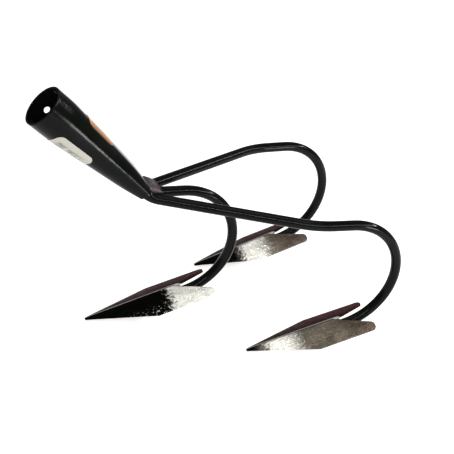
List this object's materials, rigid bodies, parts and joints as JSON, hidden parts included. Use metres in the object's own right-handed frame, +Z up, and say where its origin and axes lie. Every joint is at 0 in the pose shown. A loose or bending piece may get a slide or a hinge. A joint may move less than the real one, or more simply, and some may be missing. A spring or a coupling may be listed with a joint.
{
  "type": "cultivator head",
  "caption": "Garden cultivator head: a tapered handle socket with bent round tines, each ending in a folded duckfoot share.",
  "frame": {"origin": "on the floor that the share tips stand on, at the centre of the bounding box", "axes": "+X forward, from the handle socket to the hooks; +Y to the left; +Z up"},
  "size_m": [0.2886, 0.165, 0.198],
  "materials": {
    "socket_paint": "gloss black paint on sheet steel",
    "rod_paint": "gloss black paint on round steel rod",
    "share_finish": "glossy clear coat on dark heat-treated steel",
    "weld": "painted weld metal",
    "gold_label": "satin paper",
    "white_label": "satin paper"
  },
  "bodies": {
    "root": {"socket": "socket_paint", "tine_left": "rod_paint", "tine_middle": "rod_paint", "tine_right": "rod_paint", "share_left": "share_finish", "share_middle": "share_finish", "share_right": "share_finish", "share_weld_left": "weld", "share_weld_middle": "weld", "share_weld_right": "weld", "socket_weld_top": "weld", "socket_weld_bottom": "weld", "label_top": "gold_label", "label_low": "white_label"}
  },
  "joints": []
}
